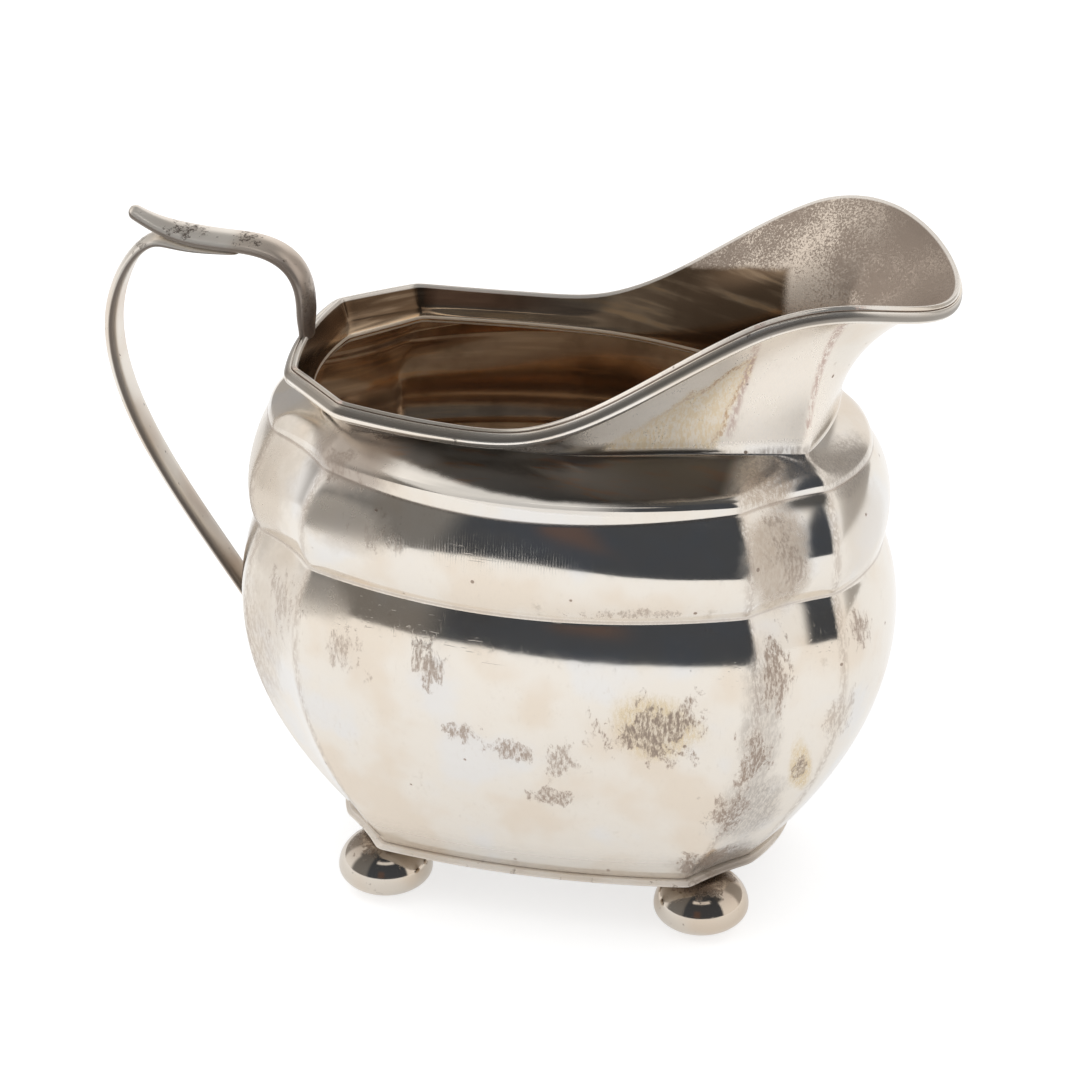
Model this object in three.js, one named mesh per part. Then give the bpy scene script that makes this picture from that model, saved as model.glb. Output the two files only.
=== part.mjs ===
import * as THREE from 'three';

// Silver milk jug: an oblong panelled body in three tiers, with a flared spout, a beaded wire round
// the rim, a two-piece handle and four ball feet. Millimetres, +Z up, the spout towards +X. Every
// piece is built about the body's own axis and the whole is then centred on its length.

// Feet: squashed balls with a small flat below and a seat soldered under the plate
const footHeight = 8.9;
const footRadius = 7.1;
const footEquator = 3.7;
const footPadRadius = 2;
const footSeatRadius = 3;
const footSpacingX = 48;
const footSpacingY = 31;

// Base plate: a flat plate with a moulded edge that stands a little proud of the body
const plateThickness = 1.4;
const plateLedge = 0.9;
const plateBead = 0.6;
const plateEase = 0.2;
const plateCove = 0.6;

// Sheet metal of the body, and the solder gap that parts a piece from its neighbour
const wall = 0.8;
const solderGap = 0.3;

// Foot of the body, where it stands on the plate
const baseHalfLength = 32.5;
const baseHalfWidth = 23.1;
const baseLongBow = 2.4;
const baseEndBow = 2.7;
const baseCornerLength = 7;
const baseCornerWidth = 9;
const baseCornerHollow = 0.45;

// Body panels from the belly up to the upper crease
const bodyLongBow = 7.6;
const bodyEndBow = 3.6;
const bodyCornerLength = 10.4;
const bodyCornerWidth = 10.2;
const bodyCornerHollow = 0.9;

// Belly, the tall lower tier, at its widest
const bellyHeight = 44.6;
const bellyHalfLength = 48.6;
const bellyHalfWidth = 34.2;

// Crease between the belly and the middle tier
const lowerCreaseHeight = 56.6;
const lowerCreaseHalfLength = 46.3;
const lowerCreaseHalfWidth = 32.3;

// Middle tier at its widest
const middleHeight = 62;
const middleHalfLength = 47.2;
const middleHalfWidth = 34.2;

// Crease between the middle tier and the shoulder
const upperCreaseHeight = 71.7;
const upperCreaseHalfLength = 44.6;
const upperCreaseHalfWidth = 32.7;
const upperCreaseLongBow = 10;

// Shoulder: a low wall above the upper crease, tallest along the sides, that rolls in to the neck,
// flat along the sides and steep at the ends
const shoulderWall = 2.8;
const shoulderWallRidge = 1.2;
const shoulderWallEnd = 0.4;
const shoulderRoll = 1.4;
const shoulderFlat = 0.3;
const shoulderLift = 2.6;
const shoulderTuck = 1.2;

// Neck, a level ring from which the short rim and the tall spout both rise
const neckHeight = 77;
const neckHalfLength = 37.8;
const neckHalfWidth = 21.2;
const neckLongBow = 1.6;
const neckEndBow = 1.5;
const neckCornerLength = 9;
const neckCornerWidth = 9.5;

// Throat, the neck's spout end: pinched in along the sides and blunt at its end
const throatHalfLength = 39.2;
const throatPinch = 4.4;
const throatCornerLength = 10.9;
const throatCornerWidth = 3.3;

// Rim along the sides and at the handle end, to which it rises a little
const rimHeight = 81;
const rimHalfLength = 39.6;
const rimHalfWidth = 24.3;
const rimLongBow = 2.8;
const rimEndBow = 1.5;
const rimCornerLength = 9.6;
const rimCornerWidth = 8.9;
const rimTilt = 22;
const handleRise = 1;
const handleRiseStart = 14;

// Spout: where the rim starts to climb, its crest, and the round lip that dips at its tip
const climbStart = -5;
const lipCrest = 41.8;
const lipCrestHeight = 103.1;
const lipReach = 57.1;
const lipCentre = 20.3;
const lipDip = 4.8;
const lipTilt = 66;
const lipLongRidge = 70;
const lipEndRidge = 46;
const neckPull = 0.25;
const lipPull = 0.5;

// Wire soldered round the outside of the rim: a half-round bead over a slim reed
const beadHeight = 2.4;
const beadDepth = 1.4;
const reedHeight = 0.6;
const reedDepth = 0.5;
const wireBacking = 0.2;

// Handle: a flat-backed bar that stands on the rim and bends out to a thumb rest
const barWidth = 5.6;
const barThickness = 2.5;
const barInset = 0.4;
const barHeight = 95.5;
const bendDrop = 9;
const bendReach = 10;
const thumbReach = 26.6;
const thumbRise = 3.4;
const thumbPull = 8;
const thumbCurl = 5.6;
const thumbAngle = 30;
const thumbTaper = 11;
const thumbTipWidth = 3;
const thumbTipThickness = 1.9;

// Handle: the strap, whose thin tongue lies under the bar and which sweeps down and in to the belly
const strapWidth = 5.4;
const strapThickness = 2.3;
const strapFootThickness = 1.7;
const tongueInset = 18;
const tongueThickness = 0.4;
const heelInset = 6.4;
const heelThickness = 1.5;
const strapReach = 29.8;
const strapReachHeight = 80;
const strapHead = 4.4;
const strapCrown = 7;
const strapDrop = 14.5;
const strapFootHeight = 35.8;
const strapFootRun = 17.5;
const strapFootAngle = 33;

// Section of both: the round face's share of the thickness, and the flat back's of the width
const roundShare = 0.6;
const backShare = 0.84;

// Facets
const endSteps = 3;
const cornerSteps = 4;
const longSteps = 6;
const bellySteps = 8;
const middleSteps = 5;
const shoulderSteps = 5;
const flareSteps = 5;
const reedSteps = 4;
const footSteps = 5;
const footSides = 24;
const barSteps = 26;
const strapSteps = 32;
const tongueSteps = 4;
const sectionSteps = 8;

const { lerp, smoothstep, clamp, degToRad } = THREE.MathUtils;
const plateTop = footHeight + plateThickness;
const wireHeight = reedHeight + beadHeight;

function silver(colour, roughness) {
  return new THREE.MeshStandardMaterial({ color: colour, roughness: roughness, metalness: 1 });
}

function node(name, geometry, material) {
  const mesh = new THREE.Mesh(geometry, material);
  mesh.name = name;
  return mesh;
}

// The stops of a ring, counter-clockwise from the middle of the spout end: which panel of the
// quarter, how far along it, and the quarter's signs in X and Y.
function ringStops() {
  const quarter = [];
  for (let i = 0; i < endSteps; i++) quarter.push({ panel: 'end', share: i / endSteps });
  for (let i = 0; i < cornerSteps; i++) quarter.push({ panel: 'corner', share: i / cornerSteps });
  for (let i = 0; i <= longSteps; i++) quarter.push({ panel: 'long', share: i / longSteps });
  const last = quarter.length - 1;
  const forward = quarter.slice(0, last);
  const backward = quarter.slice(1).reverse();
  return [
    ...forward.map((stop) => ({ ...stop, signX: 1, signY: 1 })),
    ...backward.map((stop) => ({ ...stop, signX: -1, signY: 1 })),
    ...forward.map((stop) => ({ ...stop, signX: -1, signY: -1 })),
    ...backward.map((stop) => ({ ...stop, signX: 1, signY: -1 })),
  ];
}

const stops = ringStops();

function level(height, halfLength, halfWidth, longBow, endBow, cornerLength, cornerWidth, hollow) {
  return { height, halfLength, halfWidth, longBow, endBow, cornerLength, cornerWidth, hollow };
}

function bodyLevel(height, halfLength, halfWidth, longBow = bodyLongBow) {
  return level(height, halfLength, halfWidth, longBow, bodyEndBow,
    bodyCornerLength, bodyCornerWidth, bodyCornerHollow);
}

function baseLevel(height, ledge) {
  return level(height, baseHalfLength + ledge, baseHalfWidth + ledge, baseLongBow, baseEndBow,
    baseCornerLength, baseCornerWidth, baseCornerHollow);
}

const neckLevel = level(neckHeight, neckHalfLength, neckHalfWidth, neckLongBow, neckEndBow,
  neckCornerLength, neckCornerWidth, 0);

const throatLevel = level(neckHeight, throatHalfLength, neckHalfWidth - throatPinch, neckLongBow,
  neckEndBow, throatCornerLength, throatCornerWidth, 0);

const rimLevel = level(rimHeight, rimHalfLength, rimHalfWidth, rimLongBow, rimEndBow,
  rimCornerLength, rimCornerWidth, 0);

function mixLevels(a, b, share, height) {
  const mixed = {};
  for (const key of Object.keys(a)) mixed[key] = lerp(a[key], b[key], share);
  mixed.height = height;
  return mixed;
}

// A point of a level: bowed long sides and ends, and hollowed corners between their ridges
function levelPoint(at, stop) {
  const ridgeX = at.halfLength - at.endBow;
  const ridgeY = at.halfWidth - at.longBow;
  const left = 1 - stop.share;
  let x = ridgeX;
  let y = ridgeY;
  if (stop.panel === 'end') {
    x += at.endBow * (1 - stop.share ** 2);
    y = (ridgeY - at.cornerWidth) * stop.share;
  } else if (stop.panel === 'corner') {
    const slant = Math.hypot(at.cornerLength, at.cornerWidth);
    const dip = at.hollow * 4 * stop.share * left;
    x -= at.cornerLength * stop.share + dip * at.cornerWidth / slant;
    y -= at.cornerWidth * left + dip * at.cornerLength / slant;
  } else {
    x = (ridgeX - at.cornerLength) * left;
    y += at.longBow * (1 - left ** 2);
  }
  return new THREE.Vector3(stop.signX * x, stop.signY * y, at.height);
}

function levelRing(at) {
  return stops.map((stop) => levelPoint(at, stop));
}

// Levels of one convex tier, from its lower edge over its widest part to its upper edge
function tierLevels(lower, widest, upper, steps) {
  const levels = [];
  for (let i = 0; i <= steps; i++) {
    const height = lerp(lower.height, upper.height, i / steps);
    const edge = height < widest.height ? lower : upper;
    const share = ((height - widest.height) / (edge.height - widest.height)) ** 2;
    levels.push(mixLevels(widest, edge, share, height));
  }
  return levels;
}

// The neck follows the body's panels at the handle and draws in to the throat at the spout
function neckPoint(stop) {
  if (stop.signX < 0) return levelPoint(neckLevel, stop);
  const point = levelPoint(throatLevel, stop);
  const throatRidge = throatHalfLength - neckEndBow - throatCornerLength;
  point.y += stop.signY * throatPinch * (1 - smoothstep(point.x, 0, throatRidge));
  return point;
}

// Height of the rim along the jug: up to the handle, and up to the spout
function rimRise(x) {
  const atHandle = handleRise * smoothstep(-x, handleRiseStart, rimHalfLength);
  return atHandle + (lipCrestHeight - rimHeight) * smoothstep(x, climbStart, lipCrest);
}

// The rim keeps the body's panels at the handle and rounds into an oval at the spout
function rimPoint(stop) {
  const point = levelPoint(rimLevel, stop);
  if (stop.signX > 0) {
    const reach = lipReach - lipCentre;
    const longRidge = degToRad(lipLongRidge);
    const endRidge = degToRad(lipEndRidge);
    const ridgeX = lipCentre + reach * Math.cos(longRidge);
    let angle = endRidge * stop.share;
    if (stop.panel === 'corner') angle = lerp(endRidge, longRidge, stop.share);
    if (stop.panel === 'long') {
      const along = ridgeX * (1 - stop.share) - lipCentre;
      angle = Math.acos(clamp(along / reach, 0, 1));
      point.x = lipCentre + along;
    } else {
      point.x = lipCentre + reach * Math.cos(angle);
    }
    point.y = stop.signY * rimHalfWidth * Math.sin(angle);
  }
  const past = Math.max(0, point.x - lipCrest) / (lipReach - lipCrest);
  point.z += rimRise(point.x) - lipDip * past ** 2;
  return point;
}

// Around a ring: the direction along it at one of its points
function ringTangent(ring, k) {
  const count = ring.length;
  return ring[(k + 1) % count].clone().sub(ring[(k + count - 1) % count]).normalize();
}

const up = new THREE.Vector3(0, 0, 1);
const rimRing = stops.map(rimPoint);

// The rim's frame: along the sheet towards its edge, and square to the sheet outwards
const rimFrames = rimRing.map((point, k) => {
  const tangent = ringTangent(rimRing, k);
  const outward = new THREE.Vector3(tangent.y, -tangent.x, 0).normalize();
  const opening = clamp((point.x - climbStart) / (lipReach - climbStart), 0, 1);
  const tilt = degToRad(lerp(rimTilt, lipTilt, opening));
  const rise = outward.multiplyScalar(Math.sin(tilt)).addScaledVector(up, Math.cos(tilt));
  const normal = tangent.clone().cross(rise).normalize();
  return { rise, normal };
});

function rimOffset(k, rise, normal) {
  const frame = rimFrames[k];
  return rimRing[k].clone().addScaledVector(frame.rise, rise).addScaledVector(frame.normal, normal);
}

function curveRings(steps, curveAt) {
  const curves = stops.map((stop, k) => curveAt(k));
  const rings = [];
  for (let i = 1; i <= steps; i++) rings.push(curves.map((curve) => curve.getPoint(i / steps)));
  return rings;
}

// How far a stop belongs to a long side: wholly on it, and fading over the corner to the end
function sideShare(stop) {
  if (stop.panel === 'end') return 0;
  return stop.panel === 'corner' ? stop.share : 1;
}

function shoulderWallAt(stop) {
  if (stop.panel !== 'long') return lerp(shoulderWallEnd, shoulderWallRidge, sideShare(stop));
  return lerp(shoulderWall, shoulderWallRidge, (1 - stop.share) ** 2);
}

// Outside of the body from the plate to the edge of the rim
function bodyRings() {
  const lowerCrease = bodyLevel(lowerCreaseHeight, lowerCreaseHalfLength, lowerCreaseHalfWidth);
  const upperCrease = bodyLevel(upperCreaseHeight, upperCreaseHalfLength, upperCreaseHalfWidth,
    upperCreaseLongBow);
  const belly = bodyLevel(bellyHeight, bellyHalfLength, bellyHalfWidth);
  const middle = bodyLevel(middleHeight, middleHalfLength, middleHalfWidth);
  const bellyLevels = tierLevels(baseLevel(plateTop, 0), belly, lowerCrease, bellySteps);
  const middleLevels = tierLevels(lowerCrease, middle, upperCrease, middleSteps).slice(1);
  const rings = [...bellyLevels, ...middleLevels].map(levelRing);
  const crease = rings[rings.length - 1];
  const neck = stops.map(neckPoint);
  const ledge = stops.map((stop, k) => crease[k].clone().addScaledVector(up, shoulderWallAt(stop)));
  rings.push(ledge);
  rings.push(...curveRings(shoulderSteps, (k) => {
    const flat = sideShare(stops[k]);
    const inward = neck[k].clone().setZ(ledge[k].z).sub(ledge[k]);
    return new THREE.CubicBezierCurve3(
      ledge[k],
      ledge[k].clone().addScaledVector(up, lerp(shoulderLift, shoulderRoll, flat)),
      neck[k].clone().addScaledVector(up, -shoulderTuck * (1 - flat)).addScaledVector(inward, -shoulderFlat * flat),
      neck[k],
    );
  }));
  rings.push(...curveRings(flareSteps, (k) => {
    const foot = rimOffset(k, -wireHeight, 0);
    const span = foot.distanceTo(neck[k]);
    return new THREE.CubicBezierCurve3(
      neck[k],
      neck[k].clone().addScaledVector(up, neckPull * span),
      foot.clone().addScaledVector(rimFrames[k].rise, -lipPull * span),
      foot,
    );
  }));
  rings.push(rimRing);
  return rings;
}

// Inside of a sheet: each ring moved in square to the surface, the lowest one level
function insideRings(rings) {
  return rings.map((ring, j) => ring.map((point, k) => {
    const below = rings[Math.max(j - 1, 0)][k];
    const above = rings[Math.min(j + 1, rings.length - 1)][k];
    const rise = j === 0 ? up : above.clone().sub(below);
    const normal = ringTangent(ring, k).cross(rise).normalize();
    return point.clone().addScaledVector(normal, -wall);
  }));
}

// A closed skin over rings of equal count. The ends meet each other in a tube with a wall, or are
// closed by a fan about their middle.
function loft(rings, ends) {
  const count = rings[0].length;
  const points = rings.flat();
  const index = [];
  const bands = ends === 'joined' ? rings.length : rings.length - 1;
  for (let j = 0; j < bands; j++) {
    const low = j * count;
    const high = ((j + 1) % rings.length) * count;
    for (let k = 0; k < count; k++) {
      const next = (k + 1) % count;
      index.push(low + k, low + next, high + next);
      index.push(low + k, high + next, high + k);
    }
  }
  if (ends === 'capped') {
    const first = points.length;
    const top = (rings.length - 1) * count;
    points.push(middleOf(rings[0]), middleOf(rings[rings.length - 1]));
    for (let k = 0; k < count; k++) {
      const next = (k + 1) % count;
      index.push(first, next, k);
      index.push(first + 1, top + k, top + next);
    }
  }
  const geometry = new THREE.BufferGeometry().setFromPoints(points);
  geometry.setIndex(index);
  geometry.computeVertexNormals();
  return geometry;
}

function middleOf(ring) {
  const sum = new THREE.Vector3();
  for (const point of ring) sum.add(point);
  return sum.divideScalar(ring.length);
}

function bodyShell() {
  const outside = bodyRings();
  const inside = insideRings(outside).reverse();
  return loft([...outside, ...inside], 'joined');
}

// The plate's edge: a bead below and a cove up to the foot of the body
function basePlate() {
  const edge = [
    [0, plateLedge - plateEase],
    [plateEase, plateLedge],
    [plateBead, plateLedge],
    [plateBead + plateEase, plateLedge - plateCove / 2],
    [plateThickness, plateLedge - plateCove],
  ];
  const rings = edge.map(([rise, ledge]) => levelRing(baseLevel(footHeight + rise, ledge)));
  return loft(rings, 'capped');
}

// The rim's wire: a flat back against the sheet, and its rounded reed and bead outside
function rimWire() {
  const outline = [[-wireHeight, solderGap]];
  let foot = -wireHeight;
  for (const [height, depth] of [[reedHeight, reedDepth], [beadHeight, beadDepth]]) {
    for (let i = 0; i < reedSteps; i++) {
      const angle = Math.PI * i / reedSteps;
      const rise = foot + height / 2 * (1 - Math.cos(angle));
      outline.push([rise, solderGap + lerp(wireBacking, depth, Math.sin(angle))]);
    }
    foot += height;
  }
  outline.push([0, solderGap + wireBacking]);
  outline.push([0, solderGap]);
  const rings = outline.map(([rise, normal]) => rimRing.map((point, k) => rimOffset(k, rise, normal)));
  return loft(rings, 'joined');
}

// Section of the handle, as offsets across it and square to its path: a flat back below, a round
// face above
function barSection(width, thickness) {
  const section = [];
  for (let i = 0; i <= sectionSteps; i++) {
    const angle = Math.PI * i / sectionSteps;
    const out = thickness * (0.5 - roundShare + roundShare * Math.sin(angle));
    section.push([-width / 2 * Math.cos(angle), out]);
  }
  section.push([width / 2 * backShare, -thickness / 2]);
  section.push([-width / 2 * backShare, -thickness / 2]);
  return section;
}

// A bar along a path in the plane of the handle, its round face to the right of the path
function barRings(path, steps, widthAt, thicknessAt) {
  const rings = [];
  for (let i = 0; i <= steps; i++) {
    const share = i / steps;
    const centre = path.getPointAt(share);
    const along = path.getTangentAt(share);
    const face = new THREE.Vector3(along.z, 0, -along.x);
    const section = barSection(widthAt(share), thicknessAt(share));
    rings.push(section.map(([across, out]) => centre.clone()
      .addScaledVector(face, out)
      .add(new THREE.Vector3(0, across, 0))));
  }
  return rings;
}

// Slides the points of a ring along a direction on to a plane
function cutRing(ring, along, planePoint, planeNormal) {
  return ring.map((point) => {
    const distance = planePoint.clone().sub(point).dot(planeNormal) / along.dot(planeNormal);
    return point.clone().addScaledVector(along, distance);
  });
}

function inHandlePlane(x, z) {
  return new THREE.Vector3(x, 0, z);
}

const barRoot = inHandlePlane(barInset - rimHalfLength, rimHeight + handleRise + solderGap);
const thumbTip = inHandlePlane(barRoot.x - thumbReach, barHeight + thumbRise);

// The bar's path: straight up from the rim, round its bend and out along the thumb rest
function barPath() {
  const bendFoot = inHandlePlane(barRoot.x, barHeight - bendDrop);
  const bendEnd = inHandlePlane(barRoot.x - bendReach, barHeight);
  const angle = degToRad(thumbAngle);
  const curl = inHandlePlane(Math.cos(angle), -Math.sin(angle)).multiplyScalar(thumbCurl);
  const path = new THREE.CurvePath();
  path.add(new THREE.LineCurve3(barRoot, bendFoot));
  path.add(new THREE.QuadraticBezierCurve3(bendFoot, inHandlePlane(barRoot.x, barHeight), bendEnd));
  path.add(new THREE.CubicBezierCurve3(
    bendEnd,
    inHandlePlane(bendEnd.x - thumbPull, barHeight),
    curl.add(thumbTip),
    thumbTip,
  ));
  return path;
}

const bar = barPath();

// The bar narrows and thins over its last stretch, to the tip of the thumb rest
function barTaper(share) {
  return smoothstep(share, 1 - thumbTaper / bar.getLength(), 1);
}

function barThicknessAt(share) {
  return lerp(barThickness, thumbTipThickness, barTaper(share));
}

function handleBar() {
  const widthAt = (share) => lerp(barWidth, thumbTipWidth, barTaper(share));
  return loft(barRings(bar, barSteps, widthAt, barThicknessAt), 'capped');
}

// Middle of the belly's end panel at the height where the strap is soldered to it
function strapSeat(height) {
  const belly = bodyLevel(bellyHeight, bellyHalfLength, bellyHalfWidth);
  const share = ((height - bellyHeight) / (plateTop - bellyHeight)) ** 2;
  const at = mixLevels(belly, baseLevel(plateTop, 0), share, height);
  return inHandlePlane(-at.halfLength, height);
}

// A point of the strap's middle line where it lies under the bar, at a distance from the thumb tip
function underBar(inset, thickness) {
  const share = 1 - inset / bar.getLength();
  const along = bar.getTangentAt(share);
  const depth = barThicknessAt(share) / 2 + solderGap + thickness / 2;
  return bar.getPointAt(share).add(inHandlePlane(-along.z, along.x).multiplyScalar(depth));
}

// The strap: its tongue along the bar's underside, down past its widest reach and in to the belly,
// where its end is cut to the panel
function handleStrap() {
  const tongue = [];
  for (let i = 0; i <= tongueSteps; i++) {
    const share = i / tongueSteps;
    tongue.push(underBar(lerp(tongueInset, heelInset, share),
      lerp(tongueThickness, heelThickness, share)));
  }
  const tongueCurve = new THREE.CatmullRomCurve3(tongue);
  const heel = tongue[tongueSteps];
  const heelPull = tongueCurve.getTangentAt(1).multiplyScalar(strapHead);
  const widest = inHandlePlane(barRoot.x - strapReach, strapReachHeight);
  const foot = strapSeat(strapFootHeight);
  const bellyRise = strapSeat(strapFootHeight + strapThickness).sub(foot);
  const bellyOut = inHandlePlane(-bellyRise.z, bellyRise.x).normalize();
  foot.addScaledVector(bellyOut, solderGap);
  const angle = degToRad(strapFootAngle);
  const footPull = inHandlePlane(-Math.sin(angle), Math.cos(angle)).multiplyScalar(strapFootRun);
  const path = new THREE.CurvePath();
  path.add(tongueCurve);
  path.add(new THREE.CubicBezierCurve3(
    heel,
    heelPull.add(heel),
    inHandlePlane(widest.x, widest.z + strapCrown),
    widest,
  ));
  path.add(new THREE.CubicBezierCurve3(
    widest,
    inHandlePlane(widest.x, widest.z - strapDrop),
    footPull.add(foot),
    foot,
  ));
  const [tongueEnd, widestEnd] = path.getCurveLengths();
  const tongueShare = tongueEnd / path.getLength();
  const widestShare = widestEnd / path.getLength();
  const thicknessAt = (share) => {
    if (share < tongueShare) return lerp(tongueThickness, heelThickness, share / tongueShare);
    if (share > widestShare) {
      return lerp(strapThickness, strapFootThickness, smoothstep(share, widestShare, 1));
    }
    return lerp(heelThickness, strapThickness, smoothstep(share, tongueShare, widestShare));
  };
  const rings = barRings(path, strapSteps, () => strapWidth, thicknessAt);
  const last = rings.length - 1;
  rings[last] = cutRing(rings[last], path.getTangentAt(1), foot, bellyOut);
  return loft(rings, 'capped');
}

function footGeometry() {
  const profile = [new THREE.Vector2(0, 0)];
  const padAngle = Math.acos(footPadRadius / footRadius);
  const seatAngle = Math.acos(footSeatRadius / footRadius);
  for (let i = -footSteps; i <= footSteps; i++) {
    const edge = i < 0 ? padAngle : seatAngle;
    const reach = i < 0 ? footEquator : footHeight - footEquator;
    const angle = edge * i / footSteps;
    profile.push(new THREE.Vector2(
      footRadius * Math.cos(angle),
      footEquator + reach * Math.sin(angle) / Math.sin(edge),
    ));
  }
  profile.push(new THREE.Vector2(0, footHeight));
  const geometry = new THREE.LatheGeometry(profile, footSides);
  geometry.rotateX(Math.PI / 2);
  return geometry;
}

const jug = new THREE.Group();
jug.name = 'milk_jug';
jug.add(node('body_shell', bodyShell(), silver(0xd9d2c4, 0.2)));
jug.add(node('base_plate', basePlate(), silver(0xcfc7b8, 0.25)));
jug.add(node('rim_wire', rimWire(), silver(0xd6cfc2, 0.2)));
jug.add(node('handle_bar', handleBar(), silver(0xc9c1b4, 0.25)));
jug.add(node('handle_strap', handleStrap(), silver(0xc9c1b4, 0.25)));
for (const [end, signX] of [['spout', 1], ['handle', -1]]) {
  for (const [side, signY] of [['left', 1], ['right', -1]]) {
    const foot = node(`foot_${end}_${side}`, footGeometry(), silver(0xd9d2c4, 0.15));
    foot.position.set(signX * footSpacingX / 2, signY * footSpacingY / 2, 0);
    jug.add(foot);
  }
}

// The origin is under the middle of the whole jug, spout tip to handle
const extent = new THREE.Box3().setFromObject(jug);
jug.position.x = -(extent.min.x + extent.max.x) / 2;

export default jug;
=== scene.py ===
import math

import bmesh
import bpy
from mathutils import Matrix, Vector
from mathutils.geometry import interpolate_bezier


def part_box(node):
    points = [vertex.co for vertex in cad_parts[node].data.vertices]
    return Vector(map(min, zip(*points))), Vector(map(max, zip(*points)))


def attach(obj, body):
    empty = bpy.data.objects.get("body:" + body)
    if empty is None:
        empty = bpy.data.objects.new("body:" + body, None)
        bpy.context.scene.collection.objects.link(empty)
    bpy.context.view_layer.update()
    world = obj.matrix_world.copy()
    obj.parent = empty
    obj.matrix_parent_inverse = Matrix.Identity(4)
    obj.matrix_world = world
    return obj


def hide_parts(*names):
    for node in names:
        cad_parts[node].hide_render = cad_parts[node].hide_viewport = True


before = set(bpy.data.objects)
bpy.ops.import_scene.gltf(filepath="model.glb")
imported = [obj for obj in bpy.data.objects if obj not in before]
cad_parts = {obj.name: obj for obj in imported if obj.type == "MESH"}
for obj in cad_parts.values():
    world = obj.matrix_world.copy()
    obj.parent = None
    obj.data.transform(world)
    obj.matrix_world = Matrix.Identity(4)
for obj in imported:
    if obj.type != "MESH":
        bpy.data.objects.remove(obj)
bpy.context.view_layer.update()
scene = bpy.context.scene
mm = 0.001


def middleX(node):
    low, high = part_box(node)
    return (low.x + high.x) / 2


# every piece is shaped in millimetres about the body's own axis, midway between the feet
axisX = (middleX("foot_handle_left") + middleX("foot_spout_left")) / 2
toFrame = Matrix.Translation((axisX, 0, 0)) @ Matrix.Scale(mm, 4)
bodyLevels = {"plateTop": 10.3, "lowerCrease": 56.6, "upperCrease": 71.7, "neck": 77}
print("frame loaded, body axis at", round(axisX / mm, 2), "mm")


# shading helpers, which all add to the node tree in hand
inHand = {}


def put(kind, inputs=None, **settings):
    tree = inHand["tree"]
    node = tree.nodes.new(kind)
    for name, value in settings.items():
        setattr(node, name, value)
    for name, value in (inputs or {}).items():
        if isinstance(value, bpy.types.NodeSocket):
            tree.links.new(value, node.inputs[name])
        else:
            node.inputs[name].default_value = value
    return node


def maths(operation, *values):
    return put("ShaderNodeMath", dict(enumerate(values)), operation=operation).outputs[0]


def times(first, second):
    return maths("MULTIPLY", first, second)


def most(first, second):
    return maths("MAXIMUM", first, second)


def less(first, second):
    return maths("SUBTRACT", first, second)


def scaled(value, factor, extra):  # value * factor + extra
    return maths("MULTIPLY_ADD", value, factor, extra)


def ramp(value, low, high, toLow=0.0, toHigh=1.0):
    inputs = {"Value": value, "From Min": low, "From Max": high, "To Min": toLow, "To Max": toHigh}
    return put("ShaderNodeMapRange", inputs, interpolation_type="SMOOTHSTEP").outputs[0]


def window(value, low, high, softLow, softHigh):
    rise = ramp(value, low - softLow, low)
    fall = ramp(value, high, high + softHigh, 1.0, 0.0)
    return times(rise, fall)


def mixColour(factor, first, second):
    pair = [value if isinstance(value, bpy.types.NodeSocket) else (*value, 1) for value in (first, second)]
    return put("ShaderNodeMix", {0: factor, 6: pair[0], 7: pair[1]}, data_type="RGBA").outputs[2]


def noise(vector, scale, detail=3.0, roughness=0.5, distortion=0.0):
    inputs = {"Vector": vector, "Scale": scale, "Detail": detail, "Roughness": roughness,
              "Distortion": distortion}
    return put("ShaderNodeTexNoise", inputs).outputs[0]


def stretched(vector, scale, turn=(0, 0, 0)):
    inputs = {"Vector": vector, "Scale": scale, "Rotation": [math.radians(angle) for angle in turn]}
    return put("ShaderNodeMapping", inputs).outputs[0]


def bodyCoords():  # millimetres about the body's axis
    coords = put("ShaderNodeTexCoord").outputs["Object"]
    inputs = {"Vector": coords, "Scale": (1 / mm,) * 3, "Location": (-axisX / mm, 0, 0)}
    return put("ShaderNodeMapping", inputs).outputs[0]


def lengthAndHeight(coords):
    axes = put("ShaderNodeSeparateXYZ", {0: coords}).outputs
    return axes[0], axes[2]


def attribute(name):
    return put("ShaderNodeAttribute", attribute_name=name).outputs["Fac"]


def nearness(coords, centre, size, inner, outer):  # 1 about a centre, 0 beyond an oval of that size
    offset = put("ShaderNodeVectorMath", {0: coords, 1: centre}, operation="SUBTRACT").outputs[0]
    share = put("ShaderNodeVectorMath", {0: offset, 1: size}, operation="DIVIDE").outputs[0]
    distance = put("ShaderNodeVectorMath", {0: share}, operation="LENGTH").outputs["Value"]
    return ramp(distance, inner, outer, 1.0, 0.0)


def newGroup(name, output, **inputs):
    group = bpy.data.node_groups.new(name, "ShaderNodeTree")
    inHand["tree"] = group
    for label, kind in inputs.items():
        group.interface.new_socket(label, in_out="INPUT", socket_type="NodeSocket" + kind)
    group.interface.new_socket(output, in_out="OUTPUT", socket_type="NodeSocketFloat")
    return group, put("NodeGroupInput").outputs


def place(group, **inputs):
    return put("ShaderNodeGroup", inputs, node_tree=group).outputs[0]


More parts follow.
